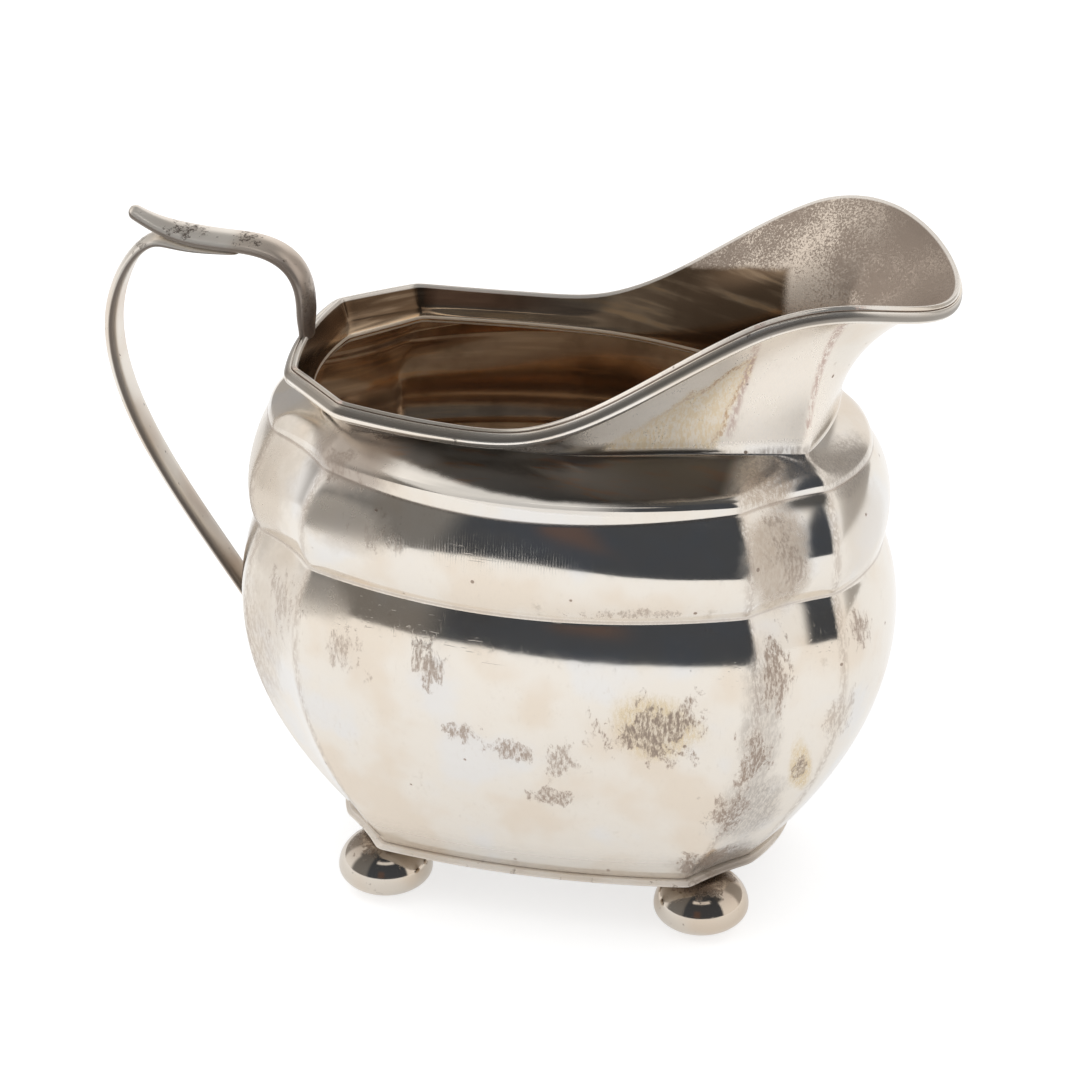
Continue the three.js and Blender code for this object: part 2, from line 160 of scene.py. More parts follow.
# one tarnish stain: ragged flakes, brushed through, that thin out from its middle
def stainGroup():
    group, given = newGroup("tarnishStain", "Mask", Coords="Vector", Centre="Vector", Size="Vector",
                            Flakes="Float", Strokes="Float", Strength="Float")
    fade = nearness(given["Coords"], given["Centre"], given["Size"], 0.0, 1.35)
    flake = ramp(scaled(fade, 0.31, less(given["Flakes"], 0.7)), 0.0, 0.07)
    brushed = times(flake, ramp(given["Strokes"], 0.4, 0.58, 0.12, 1.0))
    shaded = scaled(maths("POWER", fade, 2.0), 0.1, brushed)
    put("NodeGroupOutput", {0: times(shaded, given["Strength"])})
    return group


# hair scratches: long thin streaks of two slants, as a mask
def scratchGroup():
    group, given = newGroup("hairScratches", "Mask", Coords="Vector", Density="Float")
    streaks = []
    for turn, scale in (((20, 35, 10), (2.4, 2.4, 0.03)), ((-15, 70, 40), (0.04, 3.0, 3.0))):
        line = noise(stretched(given["Coords"], scale, turn), 1.0, 1.0)
        streaks.append(ramp(line, 0.66, 0.74))
    gate = ramp(noise(given["Coords"], 0.07, 2.0), 0.45, 0.65)
    put("NodeGroupOutput", {0: times(times(most(*streaks), gate), given["Density"])})
    return group


# hand-made sheet: shallow waves of a planished surface, as height
def waveGroup():
    group, given = newGroup("planishedWaves", "Height", Coords="Vector")
    broad = noise(given["Coords"], 0.055, 1.0)
    close = noise(given["Coords"], 0.21, 1.5)
    put("NodeGroupOutput", {0: scaled(close, 0.22, broad)})
    return group


tarnishStain = stainGroup()
hairScratches = scratchGroup()
planishedWaves = waveGroup()


def newSilver(name):
    material = bpy.data.materials.new(name)
    material.use_nodes = True
    inHand["tree"] = material.node_tree
    return material, material.node_tree.nodes["Principled BSDF"]


def dress(shader, colour, roughness, normal):
    for name, socket in (("Base Color", colour), ("Roughness", roughness), ("Normal", normal)):
        inHand["tree"].links.new(socket, shader.inputs[name])


def bump(height, distance, under=None):
    inputs = {"Height": height, "Distance": distance, "Strength": 1.0}
    if under is not None:
        inputs["Normal"] = under
    return put("ShaderNodeBump", inputs).outputs[0]


def stained(coords, tarnish, stains, flakes, strokes):  # adds a list of stains to the tarnish
    for centre, size, strength in stains:
        stain = place(tarnishStain, Coords=coords, Centre=centre, Size=size, Flakes=flakes,
                      Strokes=strokes, Strength=strength)
        tarnish = most(tarnish, stain)
    return tarnish


# outside of the body; a window gives from, to, and the softness at either end
bodyFinish = {
    "clean": (0.82, 0.765, 0.69), "warm": (0.79, 0.70, 0.595), "cool": (0.80, 0.775, 0.745),
    "haze": (0.66, 0.585, 0.50), "tarnish": (0.38, 0.30, 0.245), "ochre": (0.78, 0.62, 0.38),
    "olive": (0.86, 0.68, 0.42), "smoke": (0.34, 0.295, 0.26), "cream": (0.98, 0.90, 0.80),
    "rust": (0.55, 0.32, 0.14), "clay": (0.42, 0.345, 0.285), "rose": (0.58, 0.42, 0.36),
    # painted shade under the rim uses the last two colours on the next line and russet
    "umber": (0.50, 0.40, 0.31), "darkShade": (0.10, 0.09, 0.08), "shade": (0.24, 0.22, 0.20),
    "russet": (0.30, 0.19, 0.13),
    "polish": 0.05,
    "roughness": {"patchy": 0.07, "satin": 0.26, "underRim": 0.26, "worn": 0.3, "tarnish": 0.25,
                  "scratches": 0.12, "handled": 0.1},
    "creaseReaches": {"lowerCrease": 0.5, "upperCrease": 0.45},
    "flareHeight": (77.8, 79.5),
    "flareLength": (10, 38, 8, 4),
    "oliveWedge": {"topSlope": -0.712, "topFoot": 71.5, "sideSlope": -0.313, "sideFoot": 1.63,
                   "height": (77.5, 78.2), "edge": (2.4, 4.2), "rustLine": (2.9, 3.3, 0.4, 0.3)},
    "shoulderSlope": 0.035,
    # the next two lines place a pale matt band on the shoulder, painted as a highlight
    "paleHighlightBand": (74.2, 75.3, 0.4, 0.4),
    "paleHighlightLength": (-17, 8, 6, 10),
    "shadeBand": (75.2, 75.8),
    "shadeTop": (76.8, 77.4),
    "shadeLength": (-16, 27, 6, 4),
    "paleFoot": (11.0, 17.0),
    "handledSpot": ((-4.0, -33.0, 67.0), (19.0, 6.0, 4.5)),
    "brushedFilms": ("smoke", "ochre", "umber"),
    "stains": [  # centre, size, strength
        ((-25.7, -29.9, 46.5), (6, 6, 7), 0.6), ((-12.2, -33.1, 47.5), (5, 6, 8), 0.8),
        ((-7.5, -33.2, 37.2), (6, 6, 3), 0.8), ((-0.4, -33.3, 35.1), (6.5, 6, 3.2), 0.85),
        ((6.9, -32.9, 34), (4.6, 6, 6.5), 0.75), ((5.7, -31.1, 27.3), (7, 6, 3), 0.85),
        ((20.5, -31.1, 40.5), (13.5, 9, 9), 0.95), ((36, -24, 47), (5, 6, 12), 0.9),
        ((34, -25, 34), (6.5, 7, 10), 0.95), ((30.5, -25.5, 22.5), (6.5, 7, 9), 0.9),
        ((27, -21, 13.5), (10, 9, 4.5), 0.9), ((39, -17.6, 29), (2.4, 3, 7), 0.95),
        ((44, -15, 38), (3, 6, 8), 0.5), ((36.5, -20.5, 65), (7, 7, 9), 0.6),
        ((46, -12, 50), (5.5, 6, 6), 0.85), ((18, -31.6, 58.4), (14, 5, 2.2), 0.6),
        ((-36, -22, 49), (8, 8, 10), 0.5), ((-30, -25, 73), (9, 9, 5), 0.6),
        ((-20, -31, 66), (9, 6, 5), 0.45), ((10.5, 33, 44), (12, 8, 9), 0.8),
        ((-18, 32, 36), (7, 8, 5), 0.7), ((-33, 25, 40), (6, 7, 12), 0.8),
        ((-46.5, 4, 47), (6, 9, 8), 0.7), ((36, 22, 62), (7, 7, 9), 0.7),
    ],
    "films": [  # colour, dryness, centre, size, strength: smooth and satin
        ("ochre", 0.4, (20.5, -31.1, 40.4), (7, 6, 6), 0.8),
        ("clay", 0.4, (-27, -25, 75.2), (11, 9, 6), 0.75),
        ("clay", 0.3, (-20.5, -25, 76.9), (8, 5, 2.4), 0.9),
        # the next film is a painted dark reflection on the spout end's shoulder
        ("smoke", 0.1, (35, -15, 75.8), (8, 8, 3), 0.7),
        ("haze", 0.5, (35.5, -21, 64.5), (6, 8, 7), 0.9),
        ("umber", 0.5, (35.5, -21, 64.5), (4.8, 7, 9), 0.65),
        ("umber", 0.4, (33.5, -19, 73.6), (5.5, 6, 2.4), 0.75),
        ("umber", 0.3, (-41, -14, 41), (6, 9, 12), 0.55),
        ("haze", 0.6, (-9, -22.5, 78.2), (15, 5, 1.6), 0.7),
        ("haze", 0.3, (-32, -28, 53), (8, 8, 4), 0.6),
        ("ochre", 0.3, (38.8, -17.8, 29.5), (1.6, 4, 6.5), 0.8),
        ("haze", 0.3, (-27, -29, 66), (9, 8, 4.6), 0.75),
        ("haze", 0.3, (-42, -14, 64), (9, 12, 14), 0.65),
        ("haze", 0.2, (-38, -20, 49), (8, 8, 9), 0.45),
        ("haze", 0.2, (45.5, -8, 64), (6, 8, 8), 0.4),
        ("smoke", 0.3, (43.5, -7, 73.7), (5, 9, 4), 0.6),
        ("smoke", 0.2, (33, -23, 21), (6, 8, 12), 0.6),
        ("smoke", 0.2, (28.5, -20, 12.5), (8, 9, 4), 0.9),
        ("smoke", 0.2, (34.5, -24.5, 40), (3, 6, 14), 0.45),
        ("haze", 0.3, (-30, 26, 62), (9, 9, 6), 0.6),
        ("smoke", 0.2, (-26, 21, 13), (9, 9, 4), 0.7),
    ],
}


def bodySilver():
    material, shader = newSilver("silverBody")
    finish = bodyFinish
    coords = bodyCoords()
    length, height = lengthAndHeight(coords)
    tint = noise(coords, 0.07, 3.0)
    colour = mixColour(ramp(tint, 0.48, 0.66), finish["clean"], finish["warm"])
    colour = mixColour(ramp(tint, 0.34, 0.47, 1.0, 0.0), colour, finish["cool"])
    ragged = noise(coords, 0.16, 5.0, 0.62)
    mottle = noise(stretched(coords, (1.5, 1.5, 0.8), (8, 4, 0)), 1.0, 6.0, 0.75)
    strokes = noise(stretched(coords, (2.2, 2.2, 0.7), (20, 24, 0)), 1.0, 5.0, 0.75)
    satin = dry = 0.0
    for name, dryness, centre, size, strength in finish["films"]:
        spread = maths("ADD", nearness(coords, centre, size, 0.1, 1.5), ragged)
        film = ramp(spread, 0.65, 1.25, 0.0, strength)
        if name in finish["brushedFilms"]:
            film = times(film, ramp(strokes, 0.38, 0.6, 0.4, 1.0))
        colour = mixColour(film, colour, finish[name])
        satin = most(satin, film)
        dry = most(dry, times(film, dryness))
    # brushed flare, with an olive wedge that has a rusty edge
    speckle = noise(stretched(coords, (5.0, 5.0, 2.5), (0, 30, 0)), 1.0, 3.0, 0.8)
    onFlare = times(ramp(height, *finish["flareHeight"]), window(length, *finish["flareLength"]))
    brushed = times(onFlare, ramp(speckle, 0.4, 0.62, 0.75, 1.0))
    colour = mixColour(brushed, colour, finish["cream"])
    wedge = finish["oliveWedge"]
    above = less(scaled(length, wedge["topSlope"], height), wedge["topFoot"])
    beside = less(scaled(height, wedge["sideSlope"], length), wedge["sideFoot"])
    outside = scaled(ragged, 5.0, scaled(speckle, 2.0, most(above, beside)))
    olive = times(ramp(outside, *wedge["edge"], 0.75, 0.0), ramp(height, *wedge["height"]))
    tone = mixColour(ramp(strokes, 0.42, 0.58, 0.0, 0.7), finish["olive"], finish["cream"])
    colour = mixColour(olive, colour, tone)
    rusty = times(window(outside, *wedge["rustLine"]), ramp(length, 14, 28, 0.1, 0.8))
    rusty = times(rusty, ramp(strokes, 0.42, 0.56))
    colour = mixColour(times(rusty, onFlare), colour, finish["rust"])
    satin = most(satin, most(brushed, olive))
    dull = times(brushed, ramp(length, 22.0, 32.0, 0.9, 0.4))
    dry = most(dry, most(dull, times(olive, 0.9)))
    # tarnish in stains, creases, pits, under the wire and along the ridges
    flakes = noise(stretched(coords, (0.3, 0.3, 0.16), (25, 30, 0)), 1.0, 9.0, 0.74, 0.25)
    tarnish = stained(coords, 0.0, finish["stains"], flakes, strokes)
    for name, reach in finish["creaseReaches"].items():
        away = maths("ABSOLUTE", less(height, bodyLevels[name]))
        line = ramp(scaled(strokes, reach, away), reach * 0.6, reach * 1.3, 0.45, 0.0)
        tarnish = most(tarnish, line)
    tarnish = most(tarnish, ramp(attribute("nearRim"), 0.94, 0.99))
    bare = ramp(attribute("topEdge"), 0.9, 1.0)
    tarnish = times(tarnish, less(1.0, bare))
    dry = most(dry, times(bare, 0.2))
    edgeWear = times(ramp(attribute("ridge"), 0.35, 0.95), ramp(strokes, 0.4, 0.56))
    pinkish = times(edgeWear, ramp(height, 79.0, 81.0, 0.0, 0.8))
    colour = mixColour(pinkish, colour, finish["rose"])
    dry = most(dry, times(pinkish, 0.7))
    tarnish = most(tarnish, times(edgeWear, ramp(height, 70, 75, 0.4, 0.0)))
    specks = put("ShaderNodeTexVoronoi", {"Vector": coords, "Scale": 0.2}).outputs["Distance"]
    pits = times(ramp(specks, 0.05, 0.075, 1.0, 0.0), ramp(ragged, 0.46, 0.52))
    tarnish = most(tarnish, pits)
    worn = times(ramp(mottle, 0.52, 0.72), ramp(ragged, 0.42, 0.62, 0.08, 0.3))
    colour = mixColour(worn, colour, finish["haze"])
    colour = mixColour(tarnish, colour, finish["tarnish"])
    # a pale band along the shoulder, painted as a highlight, and painted shade between it and the neck
    slanted = scaled(length, finish["shoulderSlope"], scaled(ragged, 0.5, height))
    paleHighlight = window(slanted, *finish["paleHighlightBand"])
    paleHighlight = times(paleHighlight, window(length, *finish["paleHighlightLength"]))
    colour = mixColour(times(paleHighlight, 0.8), colour, finish["clean"])
    dry = most(dry, times(paleHighlight, 0.7))
    dry = most(dry, ramp(height, *finish["paleFoot"], 0.55, 0.0))
    # painted shade under the rim, between the pale band and the neck
    underRim = ramp(height, *finish["shadeTop"], 1.0, 0.0)
    underRim = times(ramp(slanted, *finish["shadeBand"]), underRim)
    underRim = times(underRim, window(length, *finish["shadeLength"]))
    reddish = noise(stretched(coords, (0.12, 0.6, 0.6)), 1.0, 3.0)
    # the painted shade is dark grey-brown, reddish in places and near black towards the spout
    shade = mixColour(ramp(reddish, 0.52, 0.7), finish["shade"], finish["russet"])
    shade = mixColour(ramp(length, 2.0, 20.0, 0.0, 0.75), shade, finish["darkShade"])
    colour = mixColour(underRim, colour, shade)
    lines = put("ShaderNodeTexWave", {"Vector": coords, "Scale": 0.75, "Distortion": 3.0, "Detail": 2.0,
                                      "Detail Scale": 0.5}, bands_direction="X").outputs["Fac"]
    touched = nearness(coords, *finish["handledSpot"], 0.4, 1.1)
    touched = times(touched, ramp(mottle, 0.4, 0.6, 0.3, 1.0))
    scratches = place(hairScratches, Coords=coords, Density=0.6)
    masks = {"patchy": noise(coords, 0.3, 4.0, 0.6), "satin": satin, "underRim": underRim, "worn": worn,
             "tarnish": tarnish, "scratches": scratches,
             "handled": times(touched, ramp(lines, 0.45, 0.75))}
    roughness = finish["polish"]
    for name, mask in masks.items():
        roughness = scaled(mask, finish["roughness"][name], roughness)
    normal = bump(place(planishedWaves, Coords=coords), 0.07 * mm)
    normal = bump(scaled(scratches, -0.6, tarnish), 0.01 * mm, normal)
    inHand["tree"].links.new(less(1.0, dry), shader.inputs["Metallic"])
    dress(shader, colour, roughness, normal)
    return material


# inside of the body: a golden-brown patina with level streaks, worn grey in the spout, painted shade high on
# the walls and painted highlight lines on the neck ridge
insideFinish = {
    "gold": (0.88, 0.67, 0.46), "brown": (0.64, 0.47, 0.325), "dark": (0.42, 0.30, 0.20),
    # the second colour on the next line is painted shade high on the walls
    "amber": (0.84, 0.58, 0.35), "deepShade": (0.13, 0.08, 0.046), "rim": (0.80, 0.74, 0.67),
    # the last colour on the next line is painted highlight for the neck ridge lines
    "worn": (0.80, 0.69, 0.58), "speckle": (0.40, 0.32, 0.26), "paleHighlight": (0.92, 0.79, 0.63),
    "metallic": 0.96,
    "polish": 0.17,
    "wallShadeHeight": (77.3, 78.0),
    "neckHighlightLines": ((77.15, 77.5, 0.15, 0.15), (76.35, 76.7, 0.15, 0.15)),
    "tide": {"from": 13.0, "slope": -0.269, "edge": (84.8, 85.8)},
    "spoutLength": (28.6, 30.4),
    "rimLine": (1.27, 1.31),
}


def insideSilver():
    material, shader = newSilver("silverInside")
    finish = insideFinish
    coords = bodyCoords()
    length, height = lengthAndHeight(coords)
    broad = noise(coords, 0.1, 4.0, 0.6)
    streak = noise(stretched(coords, (0.05, 0.05, 0.6), (0, 4, 0)), 1.0, 3.0, 0.55)
    colour = mixColour(ramp(streak, 0.36, 0.7), finish["brown"], finish["gold"])
    colour = mixColour(ramp(broad, 0.46, 0.66, 0.0, 0.8), colour, finish["dark"])
    glint = times(ramp(streak, 0.56, 0.64), ramp(broad, 0.4, 0.5))
    colour = mixColour(glint, colour, finish["amber"])
    # painted shade high on the inside walls under the rim, strongest at the two ends
    ends = most(ramp(length, -5.0, 18.0, 0.5, 0.9), ramp(length, -28, -22, 1.0, 0))
    wall = times(ramp(height, *finish["wallShadeHeight"]), ends)
    wall = times(wall, ramp(streak, 0.45, 0.7, 1.0, 0.6))
    colour = mixColour(wall, colour, finish["deepShade"])
    # painted highlight lines along the convex neck ridge inside
    ridge = most(*(window(height, *line) for line in finish["neckHighlightLines"]))
    colour = mixColour(ridge, colour, finish["paleHighlight"])
    # the spout is worn and speckled, above a tide line that climbs towards the lip
    nearRim = attribute("nearRim")
    fine = noise(coords, 3.2, 4.0, 0.75, 0.3)
    crowded = scaled(broad, 0.45, fine)
    crowded = scaled(maths("MINIMUM", nearRim, 1.0), 0.2, crowded)
    spots = ramp(crowded, 0.86, 0.94)
    worn = mixColour(spots, finish["worn"], finish["speckle"])
    atLip = ramp(scaled(broad, 12.0, length), 39, 51, 0.0, 0.85)
    worn = mixColour(atLip, worn, finish["speckle"])
    tide = finish["tide"]
    climb = scaled(broad, 1.5, height)
    climb = scaled(most(length, tide["from"]), tide["slope"], climb)
    spout = ramp(scaled(fine, 1.6, length), *finish["spoutLength"])
    spout = most(ramp(climb, *tide["edge"]), spout)
    colour = mixColour(spout, colour, worn)
    rimLine = ramp(nearRim, *finish["rimLine"])
    colour = mixColour(rimLine, colour, finish["rim"])
    spots = times(spots, spout)
    roughness = scaled(spout, 0.1, scaled(spots, 0.2, finish["polish"]))
    metallic = finish["metallic"]
    for mask, loss in ((ridge, -0.5), (spout, -0.3), (rimLine, -0.4)):
        metallic = scaled(mask, loss, metallic)
    normal = bump(place(planishedWaves, Coords=coords), 0.08 * mm)
    normal = bump(spots, 0.008 * mm, normal)
    inHand["tree"].links.new(metallic, shader.inputs["Metallic"])
    dress(shader, colour, roughness, normal)
    return material


# wire, handle, plate and feet share one plainer finish with their own values
def plainSilver(name, finish):
    material, shader = newSilver(name)
    shader.inputs["Metallic"].default_value = finish["metallic"]
    coords = bodyCoords()
    tint = noise(coords, 0.09, 2.0)
    colour = mixColour(ramp(tint, 0.4, 0.62), finish["clean"], finish["warm"])
    grain = noise(coords, finish["grain"], 5.0, 0.66)
    strokes = noise(coords, 2.2, 5.0, 0.75)
    tarnish = ramp(grain, *finish["specks"])
    tarnish = stained(coords, tarnish, finish["stains"], grain, strokes)
    for centre, size, strength in finish["films"]:
        film = times(nearness(coords, centre, size, 0.2, 1.2), strength)
        colour = mixColour(film, colour, finish["film"])
    # painted shade and the wire's painted reflection stripe, from a vertex attribute, join the tarnish here
    tarnish = most(tarnish, ramp(attribute("paintedShade"), 0.4, 0.95, 0.0, 0.9))
    colour = mixColour(tarnish, colour, finish["tarnish"])
    scratches = place(hairScratches, Coords=coords, Density=0.5)
    roughness = scaled(scratches, 0.1, scaled(tarnish, 0.25, finish["polish"]))
    normal = bump(scaled(scratches, -0.5, tarnish), 0.012 * mm)
    dress(shader, colour, roughness, normal)
    return material


wireFinish = {
    "clean": (0.93, 0.88, 0.81), "warm": (0.87, 0.79, 0.69), "tarnish": (0.20, 0.175, 0.15),
    "metallic": 0.85, "polish": 0.12, "grain": 0.5, "specks": (0.62, 0.75),
    "stains": [((10.4, -21, 81.5), (2, 4, 1.6), 1), ((-37, -8, 81), (3, 6, 3), 0.6)],
    "film": (0.36, 0.29, 0.23),
    "films": [((-39.5, 0, 82), (4, 6, 3), 0.8)],
}
handleFinish = {
    "clean": (0.90, 0.84, 0.76), "warm": (0.80, 0.70, 0.60), "tarnish": (0.14, 0.11, 0.09),
    "metallic": 0.74, "polish": 0.3, "grain": 0.8, "specks": (0.62, 0.76),
    "stains": [((-57, -1.5, 97), (5, 4, 1.8), 0.9), ((-47.5, -1.5, 96.5), (3.6, 4, 1.8), 0.9),
               ((-38.6, -0.5, 87.5), (2, 5, 6), 0.5), ((-63, -1, 93.5), (3, 5, 2), 0.6),
               ((-60, 0, 68), (3, 5, 9), 0.35)],
    "film": (0.24, 0.18, 0.145),
    "films": [((-38.5, 0, 84), (4, 6, 8), 0.95), ((-42.5, -2, 91.5), (6, 6, 5), 0.7),
              ((-51, 0, 48), (9, 6, 18), 0.4)],
}
plateFinish = {
    "clean": (0.86, 0.79, 0.71), "warm": (0.80, 0.71, 0.61), "tarnish": (0.34, 0.27, 0.21),
    "metallic": 0.2, "polish": 0.3, "grain": 0.6, "specks": (0.6, 0.72),
    "stains": [((28, -20, 9.5), (10, 8, 2), 0.8)],
    "film": (0.30, 0.25, 0.21),
    "films": [((30, -17, 9), (11, 9, 4), 0.85)],
}
footSpots = [(x, y) for y in (-16, 16) for x in (24, -24)]
footFinish = {
    "clean": (0.70, 0.64, 0.565), "warm": (0.68, 0.58, 0.475), "tarnish": (0.30, 0.23, 0.18),
    "metallic": 1, "polish": 0.09, "grain": 0.7, "specks": (0.62, 0.76),
    # darker tops of the feet: partly tarnish and partly painted shade under the plate
    "stains": [((x, y, 8.5), (9, 9, 3.4), 1) for x, y in footSpots],
    "film": (0.34, 0.265, 0.20),
    "films": [((x, y, 8.6), (10, 10, 3.2), 0.8) for x, y in footSpots],
}
silverBody = bodySilver()
silverInside = insideSilver()
silverWire = plainSilver("silverWire", wireFinish)
silverHandle = plainSilver("silverHandle", handleFinish)
silverPlate = plainSilver("silverPlate", plateFinish)
silverFeet = plainSilver("silverFeet", footFinish)
print("finishes made:", len(bpy.data.materials))


# mesh helpers
def ringEdges(bm, ring):
    return [bm.edges.get((ring[k - 1], ring[k])) for k in range(len(ring))]


def startRing(bm, spots):
    ring = bmesh.ops.create_circle(bm, segments=len(spots), radius=1)["verts"]
    for vert, spot in zip(ring, spots):
        vert.co = spot
    return ring


def growRing(bm, ring, spots):  # extrudes a ring and sets the new one on its places
    grown = bmesh.ops.extrude_edge_only(bm, edges=ringEdges(bm, ring))["geom"]
    order = {vert: k for k, vert in enumerate(ring)}
    lifted = list(ring)
    for vert in grown:
        if isinstance(vert, bmesh.types.BMVert):
            below = next(e.other_vert(vert) for e in vert.link_edges if e.other_vert(vert) in order)
            lifted[order[below]] = vert
    for vert, spot in zip(lifted, spots):
        vert.co = spot
    return lifted


def growRings(bm, rows):
    rings = [startRing(bm, rows[0])]
    for spots in rows[1:]:
        rings.append(growRing(bm, rings[-1], spots))
    return rings


smoothLevels = 2


def finishPiece(bm, name, nodes, materials):
    bmesh.ops.recalc_face_normals(bm, faces=bm.faces[:])
    bmesh.ops.transform(bm, matrix=toFrame, verts=bm.verts[:])
    for face in bm.faces:
        face.smooth = True
    mesh = bpy.data.meshes.new(name)
    bm.to_mesh(mesh)
    bm.free()
    for material in materials:
        mesh.materials.append(material)
    piece = bpy.data.objects.new(name, mesh)
    scene.collection.objects.link(piece)
    smooth = piece.modifiers.new("smooth", "SUBSURF")
    smooth.levels = smoothLevels
    smooth.render_levels = smoothLevels
    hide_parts(*nodes)
    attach(piece, "root")
    print("piece", name, len(mesh.polygons), "faces")


# body: eight-panelled rings in tiers, then the neck, the flare and the rim
bodyPanels = {"longBow": 7.6, "endBow": 3.6, "cornerLength": 10.4, "cornerWidth": 10.2, "hollow": 0.9}
neckPanels = {"longBow": 1.6, "endBow": 1.5, "hollow": 0}
jugBody = {
    "wall": 0.75,
    "base": {"z": bodyLevels["plateTop"], "halfLength": 32.5, "halfWidth": 23.1, "longBow": 2.4,
             "endBow": 2.7, "cornerLength": 7, "cornerWidth": 9, "hollow": 0.45},
    "belly": {"z": 44.6, "halfLength": 48.6, "halfWidth": 34.18, **bodyPanels},
    "lowerCrease": {"z": bodyLevels["lowerCrease"], "halfLength": 46.3, "halfWidth": 32.3, **bodyPanels},
    "middle": {"z": 62, "halfLength": 47.2, "halfWidth": 34.18, **bodyPanels},
    "upperCrease": {**bodyPanels, "z": bodyLevels["upperCrease"], "halfLength": 44.6, "halfWidth": 32.7,
                    "longBow": 10},
    "neck": {"z": bodyLevels["neck"], "halfLength": 37.8, "halfWidth": 21.2, "cornerLength": 9,
             "cornerWidth": 9.5, **neckPanels},
    "throat": {"z": bodyLevels["neck"], "halfLength": 39.2, "halfWidth": 16.8, "cornerLength": 10.9,
               "cornerWidth": 3.3, **neckPanels},
    "rim": {"z": 81, "halfLength": 39.6, "halfWidth": 24.3, "longBow": 2.8, "endBow": 1.5,
            "cornerLength": 9.6, "cornerWidth": 8.9, "hollow": 0},
    "throatPinch": 4.4,
    "shoulderWalls": {"side": 2.8, "ridge": 1.2, "end": 0.4},
    "shoulderRoll": 1.4,
    "shoulderFlat": 0.3,
    "shoulderLift": 2.6,
    "shoulderTuck": 1.2,
    "panelShares": {"end": (0, 0.25, 0.5, 0.72, 0.88), "corner": (0, 0.13, 0.37, 0.63, 0.87),
                    "long": (0, 0.055, 0.2, 0.4, 0.6, 0.8, 1)},
    "bellyShares": (0, 0.02, 0.1, 0.22, 0.35, 0.48, 0.61, 0.73, 0.84, 0.93, 0.985),
    "middleShares": (0, 0.045, 0.18, 0.36, 0.54, 0.72, 0.88, 0.955, 1),
    "wallShares": (0.22, 0.7, 1),
    "shoulderShares": (0.12, 0.26, 0.42, 0.6, 0.8, 0.955, 1),
    "flareShares": (0.03, 0.18, 0.4, 0.6, 0.8, 1),
    "edgeRises": (-1.5, -0.2, 0),
}
jugSpout = {"climbStart": -5, "crest": 41.8, "crestHeight": 103.1, "reach": 57, "centre": 20.3, "dip": 4.8,
            "rimTilt": 22, "lipTilt": 66, "longRidge": 70, "endRidge": 46, "neckPull": 0.25, "lipPull": 0.5,
            "handleRise": 1, "handleRiseStart": 14}
# the last three values are painted dark: a stripe standing for a reflection on the bead's upper half, and
# shade lines at the feet of reed and bead and along the top
beadWire = {"beadHeight": 2.4, "beadDepth": 1.7, "reedHeight": 0.6, "reedDepth": 0.8, "back": 0.35,
            "sunk": 0.1, "steps": 7, "reflectionStripe": 0.85, "footShade": 0.7, "topShade": 0.6}


def blend(a, b, share):
    return a + (b - a) * share


def smoothShare(value, low, high):
    share = min(max((value - low) / (high - low), 0), 1)
    return share * share * (3 - 2 * share)


def ringStops():  # panel, share along it and the quarter's signs, from the middle of the spout end
    shares = jugBody["panelShares"]
    quarter = [(panel, share) for panel in ("end", "corner", "long") for share in shares[panel]]
    runs = ((quarter[:-1], 1, 1), (quarter[:0:-1], -1, 1), (quarter[:-1], -1, -1), (quarter[:0:-1], 1, -1))
    return [(panel, share, signX, signY) for run, signX, signY in runs for panel, share in run]


stops = ringStops()
up = Vector((0, 0, 1))


def levelPoint(at, stop):
    panel, share, signX, signY = stop
    ridgeX = at["halfLength"] - at["endBow"]
    ridgeY = at["halfWidth"] - at["longBow"]
    left = 1 - share
    if panel == "end":
        x = ridgeX + at["endBow"] * (1 - share ** 2)
        y = (ridgeY - at["cornerWidth"]) * share
    elif panel == "corner":
        slant = math.hypot(at["cornerLength"], at["cornerWidth"])
        dip = at["hollow"] * 4 * share * left
        x = ridgeX - at["cornerLength"] * share - dip * at["cornerWidth"] / slant
        y = ridgeY - at["cornerWidth"] * left - dip * at["cornerLength"] / slant
    else:
        x = (ridgeX - at["cornerLength"]) * left
        y = ridgeY + at["longBow"] * (1 - left ** 2)
    return Vector((signX * x, signY * y, at["z"]))


def mixLevels(a, b, share, z):
    return {**{key: blend(a[key], b[key], share) for key in a}, "z": z}


def tierRows(lower, widest, upper, shares):
    rows = []
    for share in shares:
        z = blend(lower["z"], upper["z"], share)
        edge = lower if z < widest["z"] else upper
        fall = ((z - widest["z"]) / (edge["z"] - widest["z"])) ** 2
        rows.append([levelPoint(mixLevels(widest, edge, fall, z), stop) for stop in stops])
    return rows


def neckPoint(stop):
    if stop[2] < 0:
        return levelPoint(jugBody["neck"], stop)
    throat = jugBody["throat"]
    point = levelPoint(throat, stop)
    ridge = throat["halfLength"] - throat["endBow"] - throat["cornerLength"]
    point.y += stop[3] * jugBody["throatPinch"] * (1 - smoothShare(point.x, 0, ridge))
    return point


